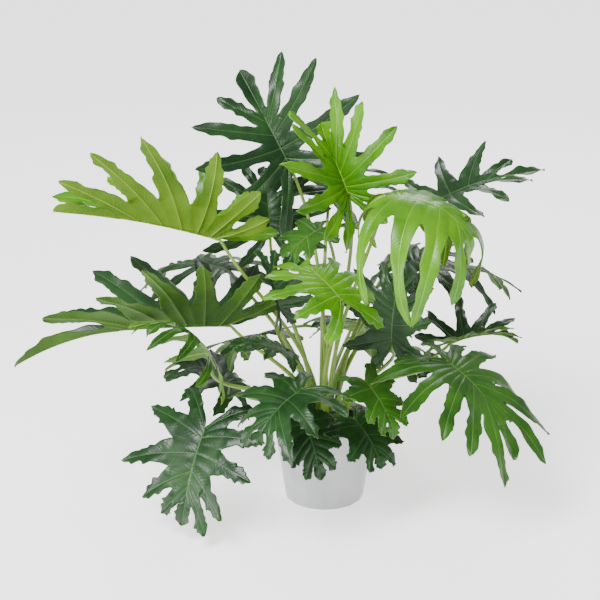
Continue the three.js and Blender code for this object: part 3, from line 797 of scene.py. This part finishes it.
def leaf_finish(name, dark, light, vein_colour, edge_colour, through_colour, roughness, glow, lower=False):
    """The material of one face of a leaf. Glow is the share of light that comes through it."""
    finish = Finish(name)
    across = finish.node("SeparateXYZ", output=0, Vector=finish.node("UVMap", {"uv_map": "lobe"})) * UV_SCALE
    along = finish.node("SeparateXYZ", output=1, Vector=finish.node("UVMap", {"uv_map": "lobe"})) * UV_SCALE
    edge = finish.node("SeparateXYZ", output=0, Vector=finish.node("UVMap", {"uv_map": "reach"})) * UV_SCALE
    place = finish.place()
    away = across.math("ABSOLUTE")

    # Broad patches of a lighter green, and fine speckles.
    patchy = finish.noise(place, 0.012, 3.0, 0.6)
    speckle = finish.noise(place, 0.3, 2.0, 0.5)
    base = patchy.smooth(0.32, 0.68).mix(dark, light)
    base = (speckle.smooth(0.4, 0.8) * 0.3).mix(base, light)

    # Side veins leave the lobe's vein at a slant, bend forward and wander a little.
    wander = finish.noise(place, 0.05, 2.0, 0.5) * 5
    slant = along - away * 0.8 - away * away * 0.014 + wander
    stripe = (slant * (1 / SIDE_VEIN_STEP)).math("PINGPONG", 0.5) * SIDE_VEIN_STEP
    side_vein = (1 - stripe.smooth(0.1, 0.8)) * speckle.smooth(0.25, 0.6)
    main_vein = 1 - away.smooth(0.25, 0.95)
    midrib = 1 - along.smooth(0.8, 2.0)
    vein = main_vein.math("MAXIMUM", midrib)
    margin = 1 - edge.smooth(0.15, 0.7)
    colour = (side_vein * (0.3 if lower else 0.1)).mix(base, vein_colour)
    colour = (vein * 0.75).mix(colour, vein_colour)
    colour = (margin * 0.5).mix(colour, edge_colour)

    # The blade swells between its side veins, and underneath they stand out.
    pores = finish.node("TexVoronoi", Vector=place, Scale=0.9)
    swell = stripe.smooth(0.0, 2.8) * 0.45 + patchy * 0.9
    height = (side_vein * 0.5 if lower else swell) + pores * 0.08
    bump = finish.bump(height, 0.4, 0.0006)
    rough = speckle * 0.12 + patchy * 0.12 + (roughness - 0.12)
    shader = finish.node("BsdfPrincipled", Base_Color=colour, Roughness=rough, Normal=bump, IOR=1.45)
    shader.socket.node.inputs["Specular IOR Level"].default_value = 0.2 if lower else 0.45
    # A little light comes through the blade.
    through = finish.node("BsdfTranslucent", Color=through_colour)
    mixed = finish.tree.nodes.new("ShaderNodeMixShader")
    for slot, value in zip(mixed.inputs, (glow, shader, through)):
        plug(finish.tree, slot, value)
    return finish.surface(Wire(finish.tree, mixed.outputs[0]))


print("side veins every", SIDE_VEIN_STEP, "mm")

# %% Young, half grown and grown leaves
young_upper = leaf_finish(
    "young leaf, upper face",
    dark=(0.040, 0.175, 0.0008),
    light=(0.105, 0.31, 0.002),
    vein_colour=(0.26, 0.46, 0.03),
    edge_colour=(0.22, 0.38, 0.015),
    through_colour=(0.26, 0.60, 0.003),
    roughness=0.31,
    glow=0.17,
)
young_under = leaf_finish(
    "young leaf, lower face",
    dark=(0.045, 0.115, 0.001),
    light=(0.090, 0.185, 0.004),
    vein_colour=(0.28, 0.40, 0.05),
    edge_colour=(0.20, 0.29, 0.03),
    through_colour=(0.20, 0.45, 0.003),
    roughness=0.45,
    glow=0.15,
    lower=True,
)
half_upper = leaf_finish(
    "half grown leaf, upper face",
    dark=(0.011, 0.062, 0.003),
    light=(0.034, 0.130, 0.006),
    vein_colour=(0.13, 0.26, 0.04),
    edge_colour=(0.11, 0.22, 0.025),
    through_colour=(0.09, 0.34, 0.004),
    roughness=0.34,
    glow=0.1,
)
half_under = leaf_finish(
    "half grown leaf, lower face",
    dark=(0.030, 0.092, 0.003),
    light=(0.060, 0.145, 0.007),
    vein_colour=(0.19, 0.30, 0.05),
    edge_colour=(0.13, 0.22, 0.03),
    through_colour=(0.10, 0.32, 0.004),
    roughness=0.45,
    glow=0.11,
    lower=True,
)
grown_upper = leaf_finish(
    "grown leaf, upper face",
    dark=(0.004, 0.026, 0.005),
    light=(0.014, 0.058, 0.010),
    vein_colour=(0.06, 0.145, 0.035),
    edge_colour=(0.06, 0.13, 0.025),
    through_colour=(0.04, 0.18, 0.005),
    roughness=0.36,
    glow=0.07,
)
grown_under = leaf_finish(
    "grown leaf, lower face",
    dark=(0.022, 0.075, 0.004),
    light=(0.050, 0.120, 0.008),
    vein_colour=(0.14, 0.25, 0.05),
    edge_colour=(0.10, 0.19, 0.03),
    through_colour=(0.06, 0.22, 0.005),
    roughness=0.43,
    glow=0.09,
    lower=True,
)
FINISH_OF = {
    "young": (young_upper, young_under),
    "half": (half_upper, half_under),
    "grown": (grown_upper, grown_under),
}
print("leaf finishes:", [face.name for pair in FINISH_OF.values() for face in pair])

# %% [markdown]
# ## Stalks
# A stalk of this plant is a long tapering rod with a shallow channel along its upper side. It stands
# upright in the soil, bends out under the weight of its blade, and runs on under the blade as the start of
# the midrib. A tube along a curve would be round, so the cross-section is written out, point by point, and
# swept along the same curve that the frame uses.

# %% Where the stalks stand
ROOT_RINGS = (10, 23, 37)  # mm from the pot's axis
ROOTS_PER_RING = (6, 9, len(LEAVES))  # the last ring takes all that are left
STALK_FOOT = (4.2, 5.0, 5.4)  # mm, a stalk's radius in the soil, ring by ring
STALK_TOP = 2.7  # mm, its radius at the blade
SOIL_TOP = 137  # mm, the height of the soil at the pot's wall
SOIL_CROWN = 5  # mm that the soil is higher in the middle
ROOT_DEPTH = 22  # mm that a stalk goes down from the soil's edge height
BOW_POINTS = 34
SEAT_GAP = 0.3  # mm of air between two solids of the frame
NECK_LONG = 9.0  # mm of a blade's neck, into which the stalk runs
COLLAR = 3  # mm above the soil's crown to which a stalk stands upright


def roots_for(leaves):
    """Where each stalk stands, as x, y and radius. The steepest stalks stand in the inner rings."""

    def lean(leaf):
        return math.hypot(leaf["heel"][0], leaf["heel"][1]) / (leaf["heel"][2] - SOIL_TOP)

    def bearing(leaf):
        return math.atan2(leaf["heel"][1], leaf["heel"][0])

    steep_first = sorted(leaves, key=lean)
    roots = {}
    for ring_radius, count, foot in zip(ROOT_RINGS, ROOTS_PER_RING, STALK_FOOT):
        members = sorted(steep_first[:count], key=bearing)
        steep_first = steep_first[count:]
        step = 2 * math.pi / len(members)
        drift = sum(bearing(member) - i * step for i, member in enumerate(members)) / len(members)
        for i, member in enumerate(members):
            turn = drift + i * step
            roots[member["name"]] = (ring_radius * math.cos(turn), ring_radius * math.sin(turn), foot)
    return roots


def stalk_direction(midrib):
    """The way in which a stalk arrives at its blade, from below and from behind."""
    way = unit(midrib.heel - np.array([0, 0, SOIL_TOP]))
    out, forward = midrib.out(0.0), midrib.forward(0.0)
    return unit(out * max(0.5, way.dot(out)) + forward * max(0.3, way.dot(forward)))


def stalk_line(leaf, root):
    """Points along the stalk from its foot to its heel and on under the midrib, and the radius at each."""
    midrib = Midrib(leaf)
    way = stalk_direction(midrib)
    end = midrib.heel - way * (NECK_LONG + SEAT_GAP)
    collar = np.array([root[0], root[1], SOIL_TOP + SOIL_CROWN + COLLAR])
    span = np.linalg.norm(end - collar)
    # A smooth bow that starts straight up and arrives in the blade's own way.
    handles = (collar, collar + UP * 0.4 * span, end - way * 0.3 * span, end)
    share = np.linspace(0, 1, BOW_POINTS)[:, None]
    weights = ((1 - share) ** 3, 3 * share * (1 - share) ** 2, 3 * share**2 * (1 - share), share**3)
    bow = sum(weight * handle for weight, handle in zip(weights, handles))
    rise = np.linspace(0, 1, 5)[:-1, None] * [0, 0, 1] * (SOIL_CROWN + COLLAR + ROOT_DEPTH - SEAT_GAP)
    rise = rise + np.array([root[0], root[1], SOIL_TOP - ROOT_DEPTH + SEAT_GAP])
    under = midrib.point(np.array([4.0, 9.0, 15.0, 22.0]) / midrib.long) - midrib.out(0.0) * 2.2
    neck = midrib.heel - way * np.array([[6.0], [3.0], [1.2]])
    neck = neck - midrib.out(0.0) * np.array([[0.2], [0.8], [1.6]])
    line = np.concatenate([rise, bow, neck, under])
    radius = np.concatenate([
        np.full(len(rise), root[2]),
        root[2] + (STALK_TOP - root[2]) * share[:, 0],
        [2.65, 2.5, 2.3],
        [2.0, 1.7, 1.4, 0.9],
    ])
    return line, radius


roots = roots_for(LEAVES)
print("stalk feet:", len(roots))

# %% Sweep a stalk
STALK_SIDES = 18
CHANNEL_DEEP = 0.16  # of the radius
CHANNEL_HALF = 0.45  # radians round the stalk
RIDGE_HIGH = 0.015  # of the radius


def stem_object(leaf, root, finish):
    """The stalk as a swept ring. Its cross-section is carried along without a twist."""
    line, radius = stalk_line(leaf, root)
    tangent = unit(np.gradient(line, axis=0))
    side = unit(np.cross(np.array([0.0, 1.0, 0.0]), tangent))
    sides = [side[0]]
    for direction in tangent[1:]:
        sides.append(unit(sides[-1] - direction * sides[-1].dot(direction)))
    side = np.array(sides)
    other = np.cross(tangent, side)
    turn = np.arange(STALK_SIDES) * 2 * math.pi / STALK_SIDES
    from_channel = np.abs((turn - math.pi / 2 + math.pi) % (2 * math.pi) - math.pi)
    channel = 1 - CHANNEL_DEEP * np.exp(-((from_channel / CHANNEL_HALF) ** 2))
    ridges = 1 + RIDGE_HIGH * np.sin(6 * turn)
    ring = side[:, None] * np.cos(turn)[None, :, None] + other[:, None] * np.sin(turn)[None, :, None]
    points = line[:, None] + ring * (radius[:, None] * (channel * ridges)[None, :])[..., None]
    rows = len(line)
    index = np.arange(rows * STALK_SIDES).reshape(rows, STALK_SIDES)
    after = np.roll(index, -1, axis=1)
    faces = np.stack([index[:-1], after[:-1], after[1:], index[1:]], -1).reshape(-1, 4).tolist()
    faces += [index[0, ::-1].tolist(), index[-1].tolist()]
    mesh = bpy.data.meshes.new(leaf["name"] + "_stem")
    mesh.from_pydata((points.reshape(-1, 3) * MM).tolist(), [], faces)
    mesh.polygons.foreach_set("use_smooth", np.ones(len(mesh.polygons), bool))
    mesh.materials.append(finish)
    mesh.update()
    piece = bpy.data.objects.new(leaf["name"] + "_stem", mesh)
    bpy.context.scene.collection.objects.link(piece)
    return piece


print("a stalk has", STALK_SIDES, "sides")


# %% Stalk material
def stalk_finish():
    finish = Finish("stalk")
    place = finish.place()
    stretched = finish.node("Mapping", Vector=place, Scale=(0.5, 0.5, 0.03))
    streak = finish.noise(stretched, 1.0, 3.0, 0.6)
    patch = finish.noise(place, 0.012, 2.0, 0.5)
    green = patch.smooth(0.3, 0.7).mix((0.11, 0.21, 0.018), (0.20, 0.31, 0.04))
    colour = (streak.smooth(0.5, 0.75) * 0.6).mix(green, (0.06, 0.14, 0.015))
    rough = streak * 0.15 + 0.36
    bump = finish.bump(streak, 0.35, 0.0004)
    return finish.surface(finish.node("BsdfPrincipled", Base_Color=colour, Roughness=rough, Normal=bump))


stalk_material = stalk_finish()
print("material:", stalk_material.name)

# %% Grow the leaves
triangles = 0
for number, item in enumerate(LEAVES):
    age = "grown"
    if item["name"] in YOUNG:
        age = "young"
    if item["name"] in HALF_GROWN:
        age = "half"
    blade = blade_object(item, number, *FINISH_OF[age])
    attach(blade, "root")
    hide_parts(item["name"] + "_blade")
    stem = stem_object(item, roots[item["name"]], stalk_material)
    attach(stem, "root")
    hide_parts(item["name"] + "_stalk")
    for piece in (blade, stem):
        triangles += sum(len(face.vertices) - 2 for face in piece.data.polygons)
print("leaves and stalks:", triangles, "triangles")

# %% [markdown]
# ## The pot
# The pot is a thin moulded cup. Its wall has sixteen shallow panels, flat in the middle and soft at their
# edges, which run out below a plain round lip. A profile is written as points of radius and height, each
# with the share of the panels that it shows, and is turned round the axis in small steps. The floor is
# filled with triangles between its outer ring and the rings of the drain holes, which leaves the holes
# open.


# %% Pot material
def pot_finish():
    finish = Finish("white moulded plastic")
    place = finish.place()
    cloud = finish.noise(place, 0.018, 3.0)
    scuff = finish.noise(finish.node("Mapping", Vector=place, Scale=(0.1, 0.1, 1.2)), 0.5, 4.0, 0.6)
    colour = cloud.smooth(0.3, 0.7).mix((0.46, 0.47, 0.48), (0.54, 0.545, 0.55))
    colour = (scuff.smooth(0.62, 0.8) * 0.35).mix(colour, (0.40, 0.40, 0.39))
    rough = cloud * 0.1 + scuff.smooth(0.5, 0.8) * 0.15 + 0.3
    bump = finish.bump(finish.noise(place, 0.9, 2.0), 0.12, 0.0002)
    return finish.surface(finish.node("BsdfPrincipled", Base_Color=colour, Roughness=rough, Normal=bump))


pot_material = pot_finish()
print("material:", pot_material.name)

# %% The pot's profile
RIM_RADIUS = 95.0  # mm, as all sizes of the pot
BASE_RADIUS = 72.0
POT_HEIGHT = 153.0
WALL = 3.6  # the wall's thickness
FLOOR_RADIUS = 58.0  # out to which the floor is flat
FLOOR_UNDER = 1.4  # the height of the floor's lower face, above the foot
FLOOR_TOP = 3.0


def pot_radius(z):
    """The outer radius of the tapered wall at a height."""
    return BASE_RADIUS + (RIM_RADIUS - BASE_RADIUS) * z / POT_HEIGHT


def arc(centre, radius, start, end, steps, share=0.0):
    """Points of a profile round a centre, from one direction to another, in degrees."""
    turns = np.radians(np.linspace(start, end, steps))
    return [(centre[0] + radius * math.cos(a), centre[1] + radius * math.sin(a), share) for a in turns]


def wall_profile():
    """The pot's outline from under its floor, out, up, over the lip, down inside and in to the floor."""
    under = [(FLOOR_RADIUS, FLOOR_UNDER, 0.0), (64.0, FLOOR_UNDER, 0.0), (66.5, 0.0, 0.0), (69.5, 0.0, 0.3)]
    foot = arc((pot_radius(2.5) - 2.5, 2.5), 2.5, -80, -5, 5, 1.0)
    shares = [(z, 1.0) for z in (5, 20, 45, 75, 105, 125)] + [(138, 0.95), (143, 0.7), (146, 0.3)]
    wall = [(pot_radius(z), z, share) for z, share in shares]
    lip = [
        (pot_radius(147.5), 147.2, 0.0),
        (pot_radius(148) + 0.9, 147.9, 0.0),
        (pot_radius(149) + 1.1, 149.0, 0.0),
    ]
    top = arc((RIM_RADIUS - 0.9, POT_HEIGHT - 1.2), 1.1, 0, 90, 5)
    inner = arc((RIM_RADIUS - WALL + 1.2, POT_HEIGHT - 1.2), 1.2, 90, 180, 5)
    inside = [(pot_radius(z) - WALL, z, 0.0) for z in (148, 136, 110, 70, 30, 9)]
    corner = arc((pot_radius(3) - WALL - 5, 8.0), 5.0, 0, -90, 5)
    return under + foot + wall + lip + top + inner + inside + corner + [(FLOOR_RADIUS, FLOOR_TOP, 0.0)]


print("points in the pot's profile:", len(wall_profile()))

# %% Turn the profile
PANELS = 16
PANEL_TURN = math.radians(-94)  # where one edge between two panels stands
PANEL_STEPS = 24
POT_STEPS = PANEL_STEPS * PANELS
EDGE_SOFT = 0.0016  # the share of the radius by which an edge between panels is rounded off
EDGE_HALF = 0.022  # radians on either side of an edge


def turned_mesh(profile, steps):
    """Turns a profile round the axis. Returns the points and the faces between them."""
    turn = PANEL_TURN + np.arange(steps) * 2 * math.pi / steps
    half = math.pi / PANELS
    across = np.mod(turn - PANEL_TURN, 2 * half) - half
    flat = math.cos(half) / np.cos(across)
    soft = flat - EDGE_SOFT * np.exp(-(((half - np.abs(across)) / EDGE_HALF) ** 2))
    rows = []
    for radius, z, share in profile:
        r = radius * (1 + (soft - 1) * share)
        rows.append(np.stack([r * np.cos(turn), r * np.sin(turn), np.full(steps, z)], -1))
    points = np.array(rows)
    index = np.arange(len(profile) * steps).reshape(len(profile), steps)
    after = np.roll(index, -1, axis=1)
    faces = np.stack([index[:-1], after[:-1], after[1:], index[1:]], -1).reshape(-1, 4)
    return points.reshape(-1, 3), faces


print("the pot is turned in", POT_STEPS, "steps")

# %% Mould the pot
DRAINS = 6
DRAIN_RING = 46.0
DRAIN_RADIUS = 4.5
DRAIN_SIDES = 32


def drill(bm, outer, holes, facing):
    """Fills a ring of vertices with a flat face that leaves the holes open."""
    edges = []
    for loop in (outer, *holes):
        for one, other in zip(loop, loop[1:] + loop[:1]):
            edges.append(bm.edges.get((one, other)) or bm.edges.new((one, other)))
    bmesh.ops.triangle_fill(bm, use_beauty=True, edges=edges, normal=(0, 0, facing))


def pot_object(finish):
    """The turned wall, the drain holes' own walls, and the two faces of the floor between them."""
    points, faces = turned_mesh(wall_profile(), POT_STEPS)
    bm = bmesh.new()
    vertices = [bm.verts.new(point * MM) for point in points]
    for face in faces.tolist():
        bm.faces.new([vertices[i] for i in face])
    lower, upper = [], []
    for drain in range(DRAINS):
        turn = (drain + 0.5) * 2 * math.pi / DRAINS
        middle = np.array([DRAIN_RING * math.cos(turn), DRAIN_RING * math.sin(turn), 0])
        angles = np.arange(DRAIN_SIDES) * 2 * math.pi / DRAIN_SIDES
        circle = [np.array([math.cos(a), math.sin(a), 0]) for a in angles]
        edge = [middle + DRAIN_RADIUS * way for way in circle]
        lower.append([bm.verts.new((at + FLOOR_UNDER * UP) * MM) for at in edge])
        upper.append([bm.verts.new((at + FLOOR_TOP * UP) * MM) for at in edge])
        for k in range(DRAIN_SIDES):
            after = (k + 1) % DRAIN_SIDES
            bm.faces.new([lower[-1][k], lower[-1][after], upper[-1][after], upper[-1][k]])
    drill(bm, vertices[:POT_STEPS], lower, -1)
    drill(bm, vertices[-POT_STEPS:], upper, 1)
    bmesh.ops.recalc_face_normals(bm, faces=bm.faces)
    for face in bm.faces:
        face.smooth = abs(face.normal.z) < 0.999
    mesh = bpy.data.meshes.new("moulded_pot")
    bm.to_mesh(mesh)
    bm.free()
    mesh.materials.append(finish)
    piece = bpy.data.objects.new("moulded_pot", mesh)
    bpy.context.scene.collection.objects.link(piece)
    return piece


pot_piece = pot_object(pot_material)
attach(pot_piece, "root")
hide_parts("pot")
print("pot:", len(pot_piece.data.polygons), "faces")

# %% [markdown]
# ## The soil
# The soil is a low mound with a rough skin, and a few thousand crumbs lie half sunk in it: flakes of bark
# and lumps of peat. Each crumb is a twenty-sided body, stretched, dented and turned by a seeded random
# generator, so that the lesson always gives the same pot of soil. A number stored with each crumb gives it
# its own shade.


# %% Soil material
def soil_finish():
    finish = Finish("bark and peat")
    place = finish.place()
    shade = finish.node("SeparateXYZ", output=0, Vector=finish.node("UVMap", {"uv_map": "crumb"}))
    fine = finish.noise(place, 0.6, 4.0, 0.7)
    colour = shade.mix((0.010, 0.006, 0.004), (0.075, 0.036, 0.018))
    colour = (fine.smooth(0.45, 0.75) * 0.5).mix(colour, (0.05, 0.032, 0.022))
    bump = finish.bump(fine, 0.8, 0.0015)
    rough = fine * 0.25 + 0.7
    return finish.surface(finish.node("BsdfPrincipled", Base_Color=colour, Roughness=rough, Normal=bump))


soil_material = soil_finish()
print("material:", soil_material.name)

# %% The mound
SOIL_EDGE = pot_radius(SOIL_TOP) - WALL - 0.6
SOIL_SKIRT = 14  # mm that the mound's short wall goes down inside the pot
LUMP = 1.2
MOUND_RINGS = 34
MOUND_STEPS = 144


def soil_height(radius, turn):
    """The height of the domed and lumpy soil at a place."""
    share = radius / pot_radius(SOIL_TOP)
    lumps = LUMP * np.sin(5 * turn + radius / 9) * np.sin(3 * turn - radius / 14) * share
    return SOIL_TOP + SOIL_CROWN * (1 - share * share) + lumps


def mound(rng):
    """The skin of the soil: rings of points that end in a short wall inside the pot."""
    shape = (MOUND_RINGS + 1, MOUND_STEPS)
    radius = np.concatenate([np.linspace(0.5, SOIL_EDGE, MOUND_RINGS), [SOIL_EDGE - 0.5]])[:, None]
    turn = np.arange(MOUND_STEPS)[None, :] * 2 * math.pi / MOUND_STEPS
    z = soil_height(radius, turn) + rng.normal(0, 0.5, shape) - 0.8
    z[-1] = SOIL_TOP - SOIL_SKIRT
    points = np.stack([radius * np.cos(turn), radius * np.sin(turn), z], -1)
    index = np.arange(shape[0] * shape[1]).reshape(shape)
    after = np.roll(index, -1, axis=1)
    quads = np.stack([index[:-1], index[1:], after[1:], after[:-1]], -1).reshape(-1, 4)
    return points.reshape(-1, 3), [*quads.tolist(), index[0].tolist(), index[-1, ::-1].tolist()]


print("the soil reaches", round(SOIL_EDGE, 1), "mm from the axis")

# %% The crumbs
CRUMBS = 3000


def crumb_shape():
    """The vertices and faces of a twenty-sided body of radius 1."""
    golden = (1 + math.sqrt(5)) / 2
    corners = []
    for a in (-1, 1):
        for b in (-golden, golden):
            corners += [(0, a, b), (a, b, 0), (b, 0, a)]
    corners = unit(np.array(corners, float))
    near = np.linalg.norm(corners[:, None] - corners[None], axis=-1)
    faces = []
    for i in range(12):
        for j in range(i + 1, 12):
            for k in range(j + 1, 12):
                if max(near[i, j], near[j, k], near[i, k]) < 1.1:
                    out = np.cross(corners[j] - corners[i], corners[k] - corners[i]).dot(corners[i])
                    faces.append((i, j, k) if out > 0 else (i, k, j))
    return corners, np.array(faces)


def scatter(rng):
    """All crumbs as one array of points and one of triangles, with a shade for each point."""
    corners, faces = crumb_shape()
    radius = SOIL_EDGE * np.sqrt(rng.uniform(0, 0.97, CRUMBS))
    turn = rng.uniform(0, 2 * math.pi, CRUMBS)
    size = 0.7 + 2.3 * rng.uniform(0, 1, CRUMBS) ** 2.2
    flake = np.stack([size * 1.5, size, size * rng.uniform(0.35, 0.9, CRUMBS)], -1)
    # Each crumb is dented and stretched, and its thin axis points mostly up, so that flakes lie flat.
    dents = 1 + rng.uniform(-0.22, 0.22, (CRUMBS, len(corners)))
    shape = corners[None] * dents[..., None] * flake[:, None]
    axes = unit(rng.normal(0, 1, (CRUMBS, 3)) * [0.35, 0.35, 1])
    aside = unit(np.cross(axes, rng.normal(0, 1, (CRUMBS, 3))))
    ahead = np.cross(axes, aside)
    basis = np.stack([aside, ahead, axes], 1)
    shape = np.einsum("nvi,nij->nvj", shape, basis)
    reach = np.minimum(radius, SOIL_EDGE - 1.9 * size)
    z = soil_height(reach, turn) + rng.uniform(-0.3, 0.5, CRUMBS) * size
    centre = np.stack([reach * np.cos(turn), reach * np.sin(turn), z], -1)
    points = (shape + centre[:, None]).reshape(-1, 3)
    triangles = (faces[None] + (np.arange(CRUMBS) * len(corners))[:, None, None]).reshape(-1, 3)
    return points, triangles, np.repeat(rng.uniform(0, 1, CRUMBS) ** 1.6, len(corners))


print("faces of a crumb:", len(crumb_shape()[1]))

# %% Lay the soil
SOIL_SEED = 11


def soil_object(finish):
    """The mound and its crumbs as one mesh."""
    rng = np.random.default_rng(SOIL_SEED)
    ground, ground_faces = mound(rng)
    crumbs, triangles, shades = scatter(rng)
    points = np.concatenate([ground, crumbs])
    shade = np.concatenate([np.full(len(ground), 0.15), shades])
    mesh = bpy.data.meshes.new("crumbly_soil")
    mesh.from_pydata((points * MM).tolist(), [], ground_faces + (triangles + len(ground)).tolist())
    corner_points = np.zeros(len(mesh.loops), int)
    mesh.loops.foreach_get("vertex_index", corner_points)
    layer = mesh.uv_layers.new(name="crumb")
    value = shade[corner_points]
    layer.data.foreach_set("uv", np.stack([value, value], -1).reshape(-1))
    smooth = np.zeros(len(mesh.polygons), bool)
    smooth[: len(ground_faces)] = True
    mesh.polygons.foreach_set("use_smooth", smooth)
    mesh.materials.append(finish)
    mesh.update()
    piece = bpy.data.objects.new("crumbly_soil", mesh)
    bpy.context.scene.collection.objects.link(piece)
    return piece


soil_piece = soil_object(soil_material)
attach(soil_piece, "root")
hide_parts("soil")
print("soil:", len(soil_piece.data.polygons), "faces")
